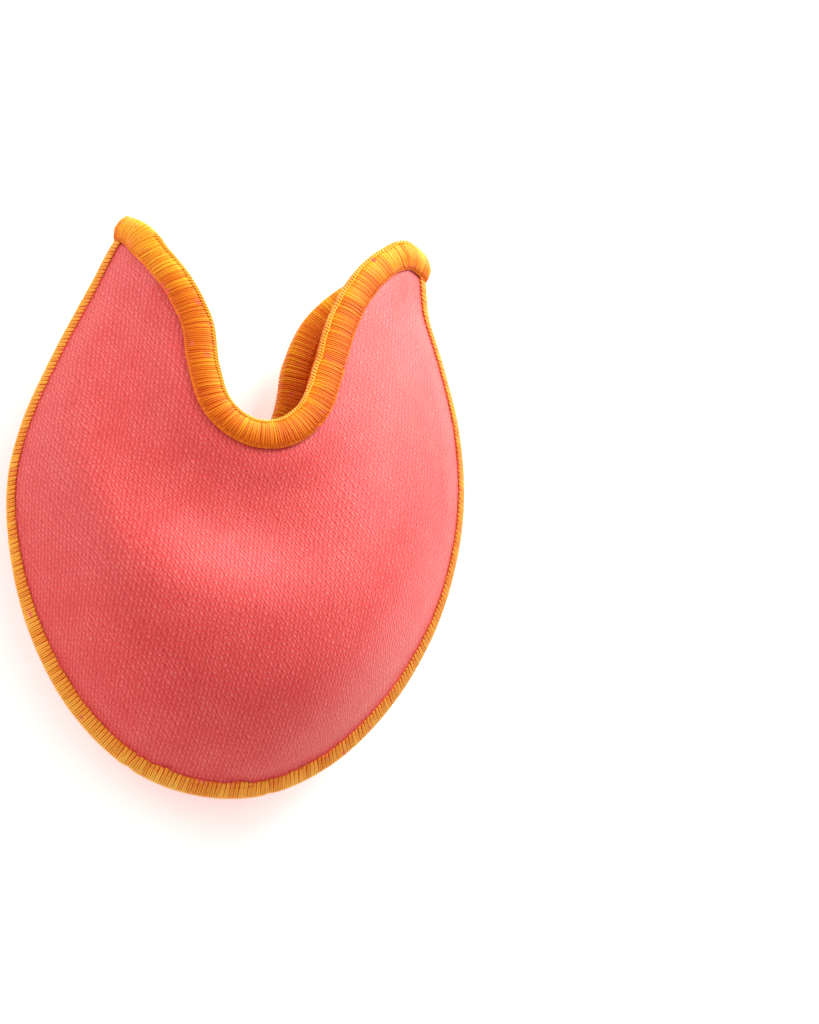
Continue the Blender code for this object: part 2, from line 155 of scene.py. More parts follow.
# Along from the toe's needle line in shares of the way to the notch: the front's rise, the back's drop,
# the powers of their domes, and the seam's height, each a share of its greatest
Section = namedtuple("Section", "along rise drop front back seam")
SECTIONS = [
    Section(0.00, 0.00, 0.00, 3.0, 2.6, 0.00),
    Section(0.06, 0.29, 0.29, 3.0, 2.6, 0.01),
    Section(0.15, 0.58, 0.60, 3.0, 2.6, 0.02),
    Section(0.30, 0.86, 0.88, 3.0, 2.7, 0.06),
    Section(0.50, 1.00, 1.00, 3.0, 2.8, 0.15),
    Section(0.75, 0.95, 1.00, 3.0, 2.8, 0.45),
    Section(1.00, 0.80, 0.98, 2.9, 2.7, 0.80),
    Section(1.30, 0.65, 0.90, 2.7, 2.6, 1.00),
    Section(1.75, 0.47, 0.75, 2.5, 2.5, 1.00),
]

HALF_WIDTH = PAD_WIDTH / 2
EDGE_DEPTH = RIM_BULGE + THREAD
SEAM_LEG = SEAM_EDGING - EDGE_DEPTH
MOUTH_LEG = MOUTH_EDGING - EDGE_DEPTH
DROOP_LEVEL = np.cos(np.radians(DROOP))
DROOP_DOWN = np.sin(np.radians(DROOP))
NEEDLE_LINE = (SEAM_LEG + NEEDLE_CLEARANCE) * DROOP_LEVEL


def unit(vectors):
    """The vectors, each made 1 long."""
    return vectors / np.maximum(np.linalg.norm(vectors, axis=-1), 1e-12)[..., None]


def run_along(points):
    """The distance of each point of a line from its start, along the line."""
    return np.concatenate([[0], np.cumsum(np.linalg.norm(np.diff(points, axis=0), axis=1))])


def read_at(where, stations, values):
    """Rows of values, read between stations by straight lines."""
    return np.stack([np.interp(where, stations, values[:, k]) for k in range(values.shape[1])], axis=1)


def hermite(t):
    """The weights of a cubic Hermite curve's start, start's slope, end and end's slope, at a share t."""
    return (1 + 2 * t) * (1 - t) ** 2, t * (1 - t) ** 2, t * t * (3 - 2 * t), t * t * (t - 1)


def smooth(where, stations, values):
    """A cubic Hermite curve through the values at the stations, whose slope at each is the mean of
    the slopes on its two sides. It is level with the end values beyond them."""
    stations, values = np.asarray(stations, float), np.asarray(values, float)
    steep = np.diff(values) / np.diff(stations)
    slopes = np.concatenate([steep[:1], (steep[1:] + steep[:-1]) / 2, steep[-1:]])
    where = np.clip(where, stations[0], stations[-1])
    left = np.clip(np.searchsorted(stations, where) - 1, 0, len(stations) - 2)
    step = stations[left + 1] - stations[left]
    start, leave, end, arrive = hermite((where - stations[left]) / step)
    return (start * values[left] + leave * step * slopes[left]
            + end * values[left + 1] + arrive * step * slopes[left + 1])


def between_points(grid, rows, columns):
    """A grid of points, read by straight lines at rows and columns between its own."""
    r = np.minimum(rows.astype(int), grid.shape[0] - 2)
    c = np.minimum(columns.astype(int), grid.shape[1] - 2)
    fr, fc = (rows - r)[..., None], (columns - c)[..., None]
    return ((1 - fr) * (1 - fc) * grid[r, c] + fr * (1 - fc) * grid[r + 1, c]
            + (1 - fr) * fc * grid[r, c + 1] + fr * fc * grid[r + 1, c + 1])


def ease(value, low, high):
    """Turns smoothly from 0 at low to 1 at high: 3 t^2 - 2 t^3."""
    t = np.clip((value - low) / (high - low), 0, 1)
    return t * t * (3 - 2 * t)


def above_zero(value, bend):
    """Values with what is below 0 raised to it, over a parabola from -bend to bend."""
    return np.where(value > bend, value, np.where(value < -bend, 0.0, (value + bend) ** 2 / (4 * bend)))


def past_end(line, y):
    """How far a line that runs on straight past its last point has come in towards x = 0."""
    before, last = line[-END_SAMPLES], line[-1]
    slope = (abs(before[0]) - abs(last[0])) / (last[1] - before[1])
    return slope * np.maximum(y - last[1], 0)


class Line:
    """An edge of a panel in plan, as fine samples, with the way into the panel at each of them."""

    def __init__(self, points, inner):
        self.points = points
        self.inner = inner
        self.run = run_along(points)
        along = unit(np.gradient(points, axis=0))
        self.inward = inner * np.stack([-along[:, 1], along[:, 0]], axis=1)

    @classmethod
    def through(cls, table, inner):
        """A smooth line through a table's points at their real size, evenly sampled."""
        points = np.array(table) * (HALF_WIDTH, PAD_LENGTH)
        run = run_along(points)
        fine = np.linspace(0, run[-1], FINE)
        curve = np.stack([smooth(fine, run, points[:, k]) for k in (0, 1)], axis=1)
        run = run_along(curve)
        return cls(read_at(np.linspace(0, run[-1], FINE), run, curve), inner)

    def moved_in(self, distance):
        """The line moved into the panel, square to itself."""
        return Line(self.points + distance * self.inward, self.inner)

    def between(self, corners):
        """The line cut, or drawn out, to run from one given corner to the other."""
        first, last = [int(np.linalg.norm(self.points - corner, axis=1).argmin()) for corner in corners]
        return Line(np.concatenate([corners[:1], self.points[first + 1:last], corners[1:]]), self.inner)

    def distance(self, x, y):
        """How far inwards points are: square to the line, or from its end where they are past that."""
        away = np.hypot(x[..., None] - self.points[:, 0], y[..., None] - self.points[:, 1])
        nearest = away.argmin(axis=-1)
        offset = np.stack([x, y], axis=-1) - self.points[nearest]
        square = (offset * self.inward[nearest]).sum(axis=-1)
        past = (nearest == 0) | (nearest == len(self.points) - 1)
        return np.where(past, np.copysign(np.linalg.norm(offset, axis=-1), square), square)

    def at(self, runs):
        """The points at runs along the line."""
        return read_at(runs, self.run, self.points)

    def inward_at(self, runs, end_ways, end=0.0):
        """The ways into the panel at runs along the line: square to it, but turned at a distance
        from its two ends to the given ways."""
        first = ease(runs, end, end + END_TURN)[:, None]
        last = ease(self.run[-1] - runs, end, end + END_TURN)[:, None]
        square = read_at(runs, self.run, self.inward)
        return unit(end_ways[0] * (1 - first) + end_ways[1] * (1 - last) + square * (first + last - 1))

    def ways_back(self):
        """The ways from the line's two ends back along it, over the mouth edging's leg."""
        return unit(self.at(np.array([MOUTH_LEG, self.run[-1] - MOUTH_LEG])) - self.points[[0, -1]])


def ear_corners(seam, mouth):
    """The panels' corners at the two ears: an edge's depth inside both outer lines."""
    seam_ways, mouth_ways = seam.ways_back(), mouth.ways_back()
    sines = np.abs(seam_ways[:, 0] * mouth_ways[:, 1] - seam_ways[:, 1] * mouth_ways[:, 0])[:, None]
    return seam.points[[0, -1]] + EDGE_DEPTH * (seam_ways + mouth_ways) / sines


class Shape:
    """The pad's lines and heights. Side is 1 for the front panel and -1 for the back one."""

    def __init__(self):
        seam = Line.through(SEAM_LINE, 1)
        mouths = {1: Line.through(FRONT_MOUTH_LINE, -1), -1: Line.through(BACK_MOUTH_LINE, -1)}
        corners = ear_corners(seam, mouths[1])
        self.seam = seam.moved_in(EDGE_DEPTH).between(corners)
        self.needle = self.seam.moved_in(NEEDLE_LINE).points
        self.mouths = {side: mouths[side].moved_in(EDGE_DEPTH).between(corners) for side in mouths}
        self.toe = int(np.argmin(self.needle[:, 1]))
        self.notch_bottom = self.mouths[1].points[FINE // 4:-FINE // 4, 1].min()

    def column(self, y, name):
        """One column of the table of sections, at each point's place along the pad."""
        toe = self.needle[self.toe, 1]
        along = (y - toe) / (self.notch_bottom - toe)
        return smooth(along, [s.along for s in SECTIONS], [getattr(s, name) for s in SECTIONS])

    def half_width(self, x, y):
        """From the pad's middle to the needle line, on the point's own side."""
        left, right = self.needle[:self.toe + 1][::-1], self.needle[self.toe:]
        widths = [np.interp(y, line[:, 1], np.abs(line[:, 0])) - past_end(line, y)
                  for line in (left, right)]
        return np.maximum(np.where(x < 0, widths[0], widths[1]), GAP)

    def bend(self, y):
        """How softly the panels bend at the needle line."""
        return TOE_BEND + (EAR_BEND - TOE_BEND) * self.column(y, "seam")

    def between_panels(self, from_seam, y):
        """The height between the two panels, at a distance from the seam: level at the needle line,
        and drooping outside it."""
        seam = TOE_SEAM_HEIGHT + (EAR_SEAM_HEIGHT - TOE_SEAM_HEIGHT) * self.column(y, "seam")
        outside = above_zero(NEEDLE_LINE - from_seam, self.bend(y))
        return seam - outside * DROOP_DOWN / DROOP_LEVEL

    def wall(self, side, x, y):
        """The panel's thickness: pressed in the edgings, full between them."""
        past_seam = self.seam.distance(x, y) - SEAM_LEG * DROOP_LEVEL
        past_mouth = self.mouths[side].distance(x, y) - MOUTH_LEG
        in_seam = ease(past_seam, 0, PADDING_RUN)
        in_mouth = ease(past_mouth, 0, PADDING_RUN)
        from_seam = SEAM_WALL + (WALL - SEAM_WALL) * in_seam
        from_mouth = MOUTH_WALL + (WALL - MOUTH_WALL) * in_mouth
        return np.minimum(from_seam, from_mouth)

    def spread(self, side, x, y):
        """From the height between the panels to a panel's inner face: half a gap, and near the
        mouth room for the mouth edging's inner leg."""
        opened = 1 - ease(self.mouths[side].distance(x, y), MOUTH_LEG, 3 * MOUTH_LEG)
        return GAP / 2 + (THREAD + GAP) * opened

    def dent(self, from_seam, x, y):
        """How far the front panel is pressed in beside the mouth: a squared half wave away from the
        mouth's edge, deepest under the notch and on its left, and gone at the ears and the seam."""
        away = np.clip((self.mouths[1].distance(x, y) - MOUTH_LEG / 2) / DENT_RUN, 0, 1)
        on_left = 1 - 0.8 * ease(x, 0.05 * HALF_WIDTH, 0.50 * HALF_WIDTH)
        below_ears = 1 - ease(y, 0.72 * PAD_LENGTH, 0.92 * PAD_LENGTH)
        in_seam = ease(from_seam, NEEDLE_LINE, NEEDLE_LINE + PADDING_RUN)
        return DENT * np.sin(np.pi * away) ** 2 * on_left * below_ears * in_seam

    def form(self, side, x, y):
        """The height of a panel's form: a dome, 1 - (share of the half width) to a power, inside
        the needle line, cut by the surface that the pad lies on."""
        share = np.abs(x) / self.half_width(x, y)
        from_seam = self.seam.distance(x, y)
        middle = self.between_panels(from_seam, y)
        if side > 0:
            dome = 1 - share ** self.column(y, "front")
            rise = above_zero(FRONT_RISE * self.column(y, "rise") * dome, self.bend(y))
            return middle + rise - self.dent(from_seam, x, y)
        dome = 1 - share ** self.column(y, "back")
        low = middle - above_zero(BACK_DROP * self.column(y, "drop") * dome, self.bend(y))
        floor = WALL + self.spread(side, x, y)
        curl = 1 - ease(self.mouths[side].distance(x, y), 0, 3 * MOUTH_LEG)
        return floor + above_zero(low - floor, FLATTENING) + MOUTH_LIFT * curl * np.maximum(dome, 0)

    def face(self, side, plan, height=0.0):
        """Points at a height outwards from a panel's inner face, square to its form."""
        x, y = plan[..., 0], plan[..., 1]
        slope_x = (self.form(side, x + GAP, y) - self.form(side, x - GAP, y)) / (2 * GAP)
        slope_y = (self.form(side, x, y + GAP) - self.form(side, x, y - GAP)) / (2 * GAP)
        normal = side * unit(np.stack([-slope_x, -slope_y, np.ones_like(x)], axis=-1))
        out = self.spread(side, x, y) + height
        return np.stack([x, y - ORIGIN_ALONG, self.form(side, x, y)], axis=-1) + out[..., None] * normal

    def column_runs(self, side, columns):
        """Where columns start along the seam and end along the mouth: even shares, less a sine that
        crowds them towards the ears."""
        share = np.linspace(0, 1, columns + 1)
        crowding = np.sin(2 * np.pi * share)
        seam = share - SEAM_CROWDING * crowding
        mouth = share - MOUTH_CROWDING * crowding
        return (MOUTH_LEG + seam * (self.seam.run[-1] - 2 * MOUTH_LEG), mouth * self.mouths[side].run[-1])


def curves(starts, start_ways, ends, end_ways, share):
    """Points a share of the way along cubic Hermite curves that leave the starts in their ways and
    meet the ends against theirs."""
    length = COLUMN_PULL * np.linalg.norm(ends - starts, axis=1)[:, None]
    start, leave, end, arrive = hermite(share[:, None, None])
    return start * starts + leave * length * start_ways + end * ends - arrive * length * end_ways


def panel_plan(shape, side):
    """A grid over a panel in plan: square to the seam and to the mouth under the edgings, and along
    smooth curves between them."""
    seam_runs, mouth_runs = shape.column_runs(side, PANEL_COLUMNS)
    starts, ends = shape.seam.at(seam_runs), shape.mouths[side].at(mouth_runs)
    back_ways = shape.seam.ways_back()
    start_ways = shape.seam.inward_at(seam_runs, -back_ways, MOUTH_LEG)
    end_ways = shape.mouths[side].inward_at(mouth_runs, back_ways)
    length = np.linalg.norm(ends - starts, axis=1)[:, None]
    seam_step = np.minimum(NEEDLE_LINE, SHORT_SEAM * length) * start_ways
    mouth_step = np.minimum(MOUTH_LEG, SHORT_MOUTH * length) * end_ways
    across = np.linspace(0, 1, EDGE_ROWS + 1)[:, None, None]
    inner = np.linspace(0, 1, PANEL_ROWS + 1) ** DOME_CROWDING
    return np.concatenate([
        starts + across[:-1] * seam_step,
        curves(starts + seam_step, start_ways, ends + mouth_step, end_ways, inner),
        ends + across[-2::-1] * mouth_step])


def leg(shape, side, edge, inward, width, under, lift, roll=0.0):
    """Rows across one leg of an edging, from its border to the panel's edge, at a height off the
    panel's outer face or, where under is true, off its inner face. The outer leg swells by a roll,
    as four fifths of a half wave."""
    share = np.linspace(0, 1, LEG_ROWS + 1)[:, None, None]
    plan = edge + (1 - share) * width * inward
    if under:
        return shape.face(side, plan, -lift)
    swell = roll * np.sin(0.8 * np.pi * share[..., 0])
    return shape.face(side, plan, shape.wall(side, plan[..., 0], plan[..., 1]) + lift + swell)


def half_turn(one, other, outward, reach, steps):
    """Points on half ellipses from one set of points to another, bulging outward by their radius
    and no further than a reach."""
    middle, half = (one + other) / 2, (one - other) / 2
    radius = np.linalg.norm(half, axis=-1)[..., None]
    outward = outward - (outward * half).sum(axis=-1)[..., None] * half / radius ** 2
    bulge = np.minimum(radius, reach) * unit(outward)
    return [middle + np.cos(turn) * half + np.sin(turn) * bulge
            for turn in np.linspace(0, np.pi, steps + 1)[1:-1]]


def rim(upper, lower, inward, lift):
    """Rows round a panel's edge, from the upper leg's last row to the lower leg's."""
    outward = np.concatenate([-inward, np.zeros_like(inward[:, :1])], axis=1)
    return half_turn(upper, lower, outward, RIM_BULGE + lift - GAP, RIM_STEPS)


def mouth_surface(shape, lift):
    """The mouth edging's surface at a height off the panels, rows across it by columns round it. The
    columns go along the front panel's mouth, over the right ear's corner, back along the back
    panel's and over the left ear's corner. It swells smoothly towards the ears' tips."""
    halves = {}
    for side in (1, -1):
        mouth = shape.mouths[side]
        runs = shape.column_runs(side, EDGING_COLUMNS)[1]
        edge = mouth.at(runs)
        inward = mouth.inward_at(runs, shape.seam.ways_back())
        outer = leg(shape, side, edge, inward, MOUTH_LEG, False, lift, BAND_ROLL)
        inner = leg(shape, side, edge, inward, MOUTH_LEG, True, lift)
        halves[side] = np.concatenate([outer, rim(outer[-1], inner[-1], inward, lift), inner[::-1]])
    front, back = halves[1], halves[-1]
    plan = -shape.seam.inward[[0, -1]] * DROOP_LEVEL
    left_way, right_way = np.concatenate([plan, np.full((2, 1), -DROOP_DOWN)], axis=1)
    reach = RIM_BULGE + lift - GAP
    right_turn = np.stack(half_turn(front[:, -1], back[:, -1], right_way, reach, TURN_STEPS), axis=1)
    left_turn = np.stack(half_turn(back[:, 0], front[:, 0], left_way, reach, TURN_STEPS), axis=1)
    surface = np.concatenate([front, right_turn, back[:, ::-1], left_turn], axis=1)
    tips = shape.seam.points[[0, -1]] - (0, ORIGIN_ALONG)
    away = np.linalg.norm(surface[:, :, None, :2] - tips, axis=-1).min(axis=-1)
    row = np.arange(len(surface))[:, None]
    outer = ease(row, 0, LEG_ROWS // 2) * (1 - ease(row, LEG_ROWS + 2, LEG_ROWS + RIM_STEPS + 1))
    swell = EAR_SWELL * outer * (1 - ease(away, 0, EAR_SWELL_RUN))
    return surface + swell[..., None] * facing(surface, True)


def seam_surface(shape, lift):
    """The seam edging's surface at a height off the panels, from the left ear round the toe to the
    right one. Its rows go from the back panel round the rim to the front one. It reaches further in
    at the toe, and less far on the left."""
    start = MOUTH_LEG - SEAM_TUCK
    runs = np.linspace(start, shape.seam.run[-1] - start, EDGING_COLUMNS + 1)
    edge = shape.seam.at(runs)
    inward = shape.seam.inward_at(runs, shape.mouths[1].ways_back())
    at_toe = 1 - ease(edge[:, 1], 0.10 * PAD_LENGTH, 0.45 * PAD_LENGTH)
    on_left = ease(-edge[:, 0], 0, 0.5 * HALF_WIDTH) * (1 - at_toe)
    width = SEAM_LEG * DROOP_LEVEL * (1 + TOE_WIDENING * at_toe - LEFT_NARROWING * on_left)[:, None]
    front = leg(shape, 1, edge, inward, width, False, lift)
    back = leg(shape, -1, edge, inward, width, False, lift)
    return np.concatenate([back, rim(back[-1], front[-1], inward, lift), front[::-1]])


def facing(surface, closed):
    """The outward normals of an edging's surface: square to its rows and its columns."""
    down = np.gradient(surface, axis=0)
    if closed:
        along = np.roll(surface, -1, axis=1) - np.roll(surface, 1, axis=1)
    else:
        along = np.gradient(surface, axis=1)
    return unit(np.cross(along, down))


class Track:
    """An edging's surface, read at any run along it and any share across it."""

    def __init__(self, surface, closed):
        self.closed = closed
        self.normals = facing(surface, closed)
        joined = np.concatenate([surface, surface[:, :1]], axis=1) if closed else surface
        steps = np.linalg.norm(np.diff(joined, axis=1), axis=-1).mean(axis=0)
        self.run = np.concatenate([[0], np.cumsum(steps)])
        self.length = self.run[-1]
        self.surface = joined
        if closed:
            self.normals = np.concatenate([self.normals, self.normals[:, :1]], axis=1)
        self.shares = np.linspace(0, 1, len(surface))

    def read(self, grid, runs, shares):
        """A grid of the surface, read by straight lines at runs and shares of any one shape."""
        runs = np.mod(runs, self.length) if self.closed else np.clip(runs, 0, self.length)
        column = np.interp(runs, self.run, np.arange(len(self.run)))
        return between_points(grid, np.clip(shares, 0, 1) * (len(grid) - 1), column)

    def place(self, runs, shares, height):
        """Points and normals at runs, shares and heights over the surface."""
        runs, shares, height = np.broadcast_arrays(runs, shares, height)
        normals = unit(self.read(self.normals, runs, shares))
        return self.read(self.surface, runs, shares) + height[..., None] * normals, normals


def placed(name, data):
    """A new object in the scene: a mesh, a camera or a light."""
    made = bpy.data.objects.new(name, data)
    bpy.context.scene.collection.objects.link(made)
    return made


def solids(name, rings, uv, materials, closed=False, tone=None, skins=None):
    """A mesh of closed solids. Rings holds, for each solid, the points of the rings along it; quads
    join ring to ring, and a strip of quads closes each end unless the last ring meets the first.
    Tone is a number for each ring point, and skins a material for each quad round a ring."""
    count, rows, sides = rings.shape[:3]
    index = np.arange(count * rows * sides).reshape(count, rows, sides)
    ahead = np.roll(index, -1, axis=1) if closed else index[:, 1:]
    here = index if closed else index[:, :-1]
    quads = np.stack([here, np.roll(here, -1, axis=2), np.roll(ahead, -1, axis=2), ahead], axis=-1)
    corner = uv if closed else uv[:, :-1]
    beyond = np.concatenate([uv[:, 1:], uv[:, :1]], axis=1) if closed else uv[:, 1:]
    places = np.stack([corner[:, :, :-1], corner[:, :, 1:], beyond[:, :, 1:], beyond[:, :, :-1]], axis=-2)
    faces, corners = [quads.reshape(-1, 4)], [places.reshape(-1, 4, 2)]
    skins = np.zeros(sides, int) if skins is None else skins
    kinds = [np.tile(skins, quads.shape[0] * quads.shape[1])]
    if not closed:
        j = np.arange(sides // 2 - 1)
        strip = np.stack([j, j + 1, sides - 2 - j, sides - 1 - j], axis=1)
        flat = uv[:, :, :-1].reshape(-1, 2)
        for ends in (index[:, 0][:, strip[:, ::-1]], index[:, -1][:, strip]):
            faces.append(ends.reshape(-1, 4))
            corners.append(flat[faces[-1]])
            kinds.append(np.zeros(len(faces[-1]), int))
    faces, corners, kinds = np.concatenate(faces), np.concatenate(corners), np.concatenate(kinds)
    mesh = bpy.data.meshes.new(name)
    mesh.vertices.add(rings.size // 3)
    mesh.vertices.foreach_set("co", rings.reshape(-1).astype(np.float32))
    mesh.loops.add(faces.size)
    mesh.loops.foreach_set("vertex_index", faces.reshape(-1).astype(np.int32))
    mesh.polygons.add(len(faces))
    mesh.polygons.foreach_set("loop_start", np.arange(0, faces.size, 4, dtype=np.int32))
    mesh.polygons.foreach_set("material_index", kinds.astype(np.int32))
    mesh.update(calc_edges=True)
    layer = mesh.uv_layers.new(name="Surface")
    layer.data.foreach_set("uv", corners.reshape(-1).astype(np.float32))
    if tone is not None:
        tone = np.broadcast_to(tone, rings.shape[:3]).reshape(-1).astype(np.float32)
        mesh.attributes.new("tone", "FLOAT", "POINT").data.foreach_set("value", tone)
    mesh.shade_smooth()
    for finish in materials:
        mesh.materials.append(finish)
    piece = placed(name, mesh)
    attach(piece, "root")
    return piece


def threads(name, paths, normals, wide, high, finish, tone, closed=False, sides=THREAD_SIDES):
    """Threads along paths, as rings of ellipses, half as wide and as high as given, that stand square
    to the path with their height along the normals. Their UV map is metres along the path, and the
    share of the way round."""
    if closed:
        along = unit(np.roll(paths, -1, axis=1) - np.roll(paths, 1, axis=1))
    else:
        along = unit(np.gradient(paths, axis=1))
    up = unit(normals - (normals * along).sum(axis=-1)[..., None] * along)
    across = np.cross(up, along)
    turn = 2 * np.pi * np.arange(sides) / sides
    wide, high = np.cos(turn) * np.asarray(wide)[..., None], np.sin(turn) * np.asarray(high)[..., None]
    rings = paths[:, :, None] + wide[..., None] * across[:, :, None] + high[..., None] * up[:, :, None]
    steps = np.linalg.norm(np.diff(paths, axis=1), axis=-1)
    run = np.concatenate([np.zeros((len(paths), 1)), np.cumsum(steps, axis=1)], axis=1)
    uv = np.stack(np.broadcast_arrays(run[..., None], np.arange(sides + 1) / sides), axis=-1)
    return solids(name, rings, uv, [finish], closed=closed, tone=tone)


def core(track, name, finish):
    """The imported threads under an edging's wrapped ones: a thin closed layer whose rings go across
    it underneath and back on top."""
    keep = slice(0, -1) if track.closed else slice(None)
    top, normals, run = track.surface[:, keep], track.normals[:, keep], track.run[keep]
    rings = np.concatenate([top - CORE * normals, top[::-1]]).transpose(1, 0, 2)[None]
    across = np.concatenate([track.shares, track.shares[::-1], track.shares[:1]])
    uv = np.stack(np.broadcast_arrays(run[:, None], across[None]), axis=-1)[None]
    return solids(name, rings, uv, [finish], closed=track.closed, tone=CORE_TONE)


def knit_map(shape, side, plan):
    """Where a panel's points lie in its flat knit, in metres: the length of the form across it from
    the pad's middle line, and along it from a level a third of the way up."""
    x = np.linspace(-1.1 * HALF_WIDTH, 1.1 * HALF_WIDTH, MAP_COLUMNS)
    y = np.linspace(-0.05 * PAD_LENGTH, 1.1 * PAD_LENGTH, MAP_ROWS)
    spots = np.meshgrid(x, y, indexing="ij")
    height = shape.form(side, *spots)
    across = np.hypot(np.diff(x)[:, None], np.diff(height, axis=0))
    along = np.hypot(np.diff(y)[None], np.diff(height, axis=1))
    u = np.concatenate([np.zeros((1, len(y))), np.cumsum(across, axis=0)])
    v = np.concatenate([np.zeros((len(x), 1)), np.cumsum(along, axis=1)], axis=1)
    u = u - u[len(x) // 2]
    v = v - v[:, len(y) // 3:len(y) // 3 + 1]
    column = np.interp(plan[..., 0], x, np.arange(len(x)))
    row = np.interp(plan[..., 1], y, np.arange(len(y)))
    return between_points(np.stack([u, v], axis=-1), column, row)


def knit_panel(shape, side, name, knit, lining):
    """A padded panel: its outer knit and its lining are the two sides of one closed wall."""
    plan = panel_plan(shape, side)
    outside = shape.wall(side, plan[..., 0], plan[..., 1])
    inner, outer = shape.face(side, plan, np.stack([np.zeros_like(outside), outside]))
    first, second = (inner, outer) if side > 0 else (outer, inner)
    rings = np.concatenate([first, second[::-1]]).transpose(1, 0, 2)[None]
    flat = knit_map(shape, side, plan)
    uv = np.concatenate([flat, flat[::-1], flat[:1]]).transpose(1, 0, 2)[None]
    rows = len(plan)
    skins = np.zeros(2 * rows, int)
    lined = slice(0, rows - 1) if side > 0 else slice(rows, 2 * rows - 1)
    skins[lined] = 1
    return solids(name, rings, uv, [knit, lining], skins=skins)


def from_tip(track, runs):
    """How far along the mouth's edging the nearer ear's tip is: one is at its start and one half way
    round."""
    to_right = np.abs(runs - track.run[EDGING_COLUMNS + TURN_STEPS // 2])
    return np.minimum(to_right, np.minimum(runs, track.length - runs))


def thickness(half, loose):
    """Each thread's own half width or height, by its own chance."""
    return half * (1 + THICKNESS_SPREAD * (loose - 0.5))


def tones_with_painted_rim_light(shares, loose):
    """Each thread's tone: its own chance, plus painted light: lighter towards the rim as a painted
    highlight, and darker at the edging's borders as painted shade, 1 - |2 share - 1| to a power."""
    return 0.45 * loose + 0.55 * (1 - np.abs(2 * shares - 1) ** 1.6)


def wraps(track, pitch, name, finish, rng):
    """Threads wound across an edging, side by side in twos. Each is a flattened tube that leans a
    little, and that gets thinner and dives under the border at its two ends."""
    count = int(round(track.length / pitch))
    shares = np.array(WRAP_SHARES)
    k = np.arange(count)
    centres = (k + 0.5) * track.length / count + 0.06 * pitch * rng.standard_normal(count)
    lean = pitch * (0.25 + 0.20 * rng.standard_normal(count))[:, None] * (shares - 0.5)
    runs = centres[:, None] + lean + PAIRING * pitch * np.where(k % 2 == 0, 1, -1)[:, None]
    full = ease(np.minimum(shares, 1 - shares), 0, 0.08)
    loose = rng.random(count)[:, None]
    height = 0.12 * THREAD_HIGH * (loose - 0.5) - THREAD_HIGH * (1 - full)
    reach = shares + REACH_SPREAD * rng.standard_normal(count)[:, None] * (1 - full)
    wide = thickness(THREAD_WIDE, loose) * (0.4 + 0.6 * full)
    high = thickness(THREAD_HIGH, loose) * (0.5 + 0.5 * full)
    at_tip = TIP_TONE * (1 - ease(from_tip(track, centres), EAR_SWELL_RUN, 3 * EAR_SWELL_RUN))[:, None]
    # The tone holds painted light: a painted highlight at the rim and painted shade at the borders.
    tone = (tones_with_painted_rim_light(shares, loose) + at_tip)[..., None]
    return threads(name, *track.place(runs, reach, height), wide, high, finish, tone)


def loops(track, pitch, name, finish, rng):
    """Thread wound round the seam in closed loops: each runs across the edging, turns back in a half
    circle at the border, and comes back beside itself, so the borders are rows of round lobes."""
    count = int(round(track.length / pitch))
    centres = (np.arange(count) + 0.5) * track.length / count + 0.025 * pitch * rng.standard_normal(count)
    turn = np.radians(LOOP_TURNS)
    straight = np.array(LOOP_SHARES)
    lobe = LOBE * (1 - np.cos(turn))
    shares = np.concatenate([straight, 1 - lobe, straight[::-1], lobe])
    sway = np.concatenate([-np.ones(len(straight)), np.sin(turn), np.ones(len(straight)), -np.sin(turn)])
    loose = rng.random(count)[:, None]
    lean = pitch * (0.10 + 0.10 * rng.standard_normal(count))[:, None] * (shares - 0.5)
    waist = 1 - LOOP_WAIST * ease(np.abs(2 * shares - 1), 0.55, 0.88)
    runs = centres[:, None] + LOOP_HALF * pitch * sway * waist + lean
    reach = shares + REACH_SPREAD * rng.standard_normal(count)[:, None] * (2 * shares - 1)
    height = 0.15 * THREAD_HIGH * (loose - 0.5)
    wide = thickness(LOOP_THREAD, loose)
    # The tone holds painted light: a painted highlight at the rim and painted shade at the borders.
    return threads(name, *track.place(runs, reach, height), wide, wide, finish,
                   tones_with_painted_rim_light(shares, loose)[..., None], closed=True, sides=LOOP_SIDES)


def sunk(track, runs):
    """How deep a thread that runs along the mouth goes under the wrapped ones: most at the tips."""
    return CHAIN_SINK * (1 - ease(from_tip(track, runs), 0.5 * EAR_SWELL_RUN, EAR_SWELL_RUN))


def needle(track, shares, name, finish):
    """Straight threads that run along an edging under its wrapped ones, at shares across it. Round
    the mouth they sink in at the ears' tips."""
    runs = np.linspace(0, track.length, NEEDLE_STEPS * EDGING_COLUMNS + 1)[:-1 if track.closed else None]
    depth = sunk(track, runs) if track.closed else 0.0
    return threads(name, *track.place(runs, np.array(shares)[:, None], -depth), NEEDLE_HALF, NEEDLE_HALF,
                   finish, NEEDLE_TONE, closed=track.closed)


def chain(track, share, pitch, name, finish):
    """A looper thread that runs along an edging at one share across it: two strands that turn round
    each other once in two pitches, so they cross at every pitch, and wander as a sum of two slow
    sines. It sinks in at the ears' tips."""
    turns = int(round(track.length / (2 * pitch)))
    points = turns * CHAIN_STEPS + (0 if track.closed else 1)
    runs = np.arange(points) * track.length / (turns * CHAIN_STEPS)
    turn = 2 * np.pi * turns * runs / track.length
    once = 2 * np.pi * runs / track.length
    wander = 0.25 * np.sin(17 * once) + 0.2 * np.sin(41 * once + 1)
    rise = CHAIN_HEIGHT - sunk(track, runs)
    across = np.linalg.norm(np.diff(track.surface, axis=0), axis=-1).sum(axis=0).mean()
    phase = np.array([[0], [np.pi]])
    shift = CHAIN_SWAY * (np.sin(turn + phase) + wander) / across
    height = rise + 0.5 * CHAIN_SWAY * np.cos(turn + phase)
    return threads(name, *track.place(runs, share + shift, height), CHAIN_HALF, CHAIN_HALF, finish,
                   0.75 + 0.3 * wander[None, :, None], closed=track.closed)


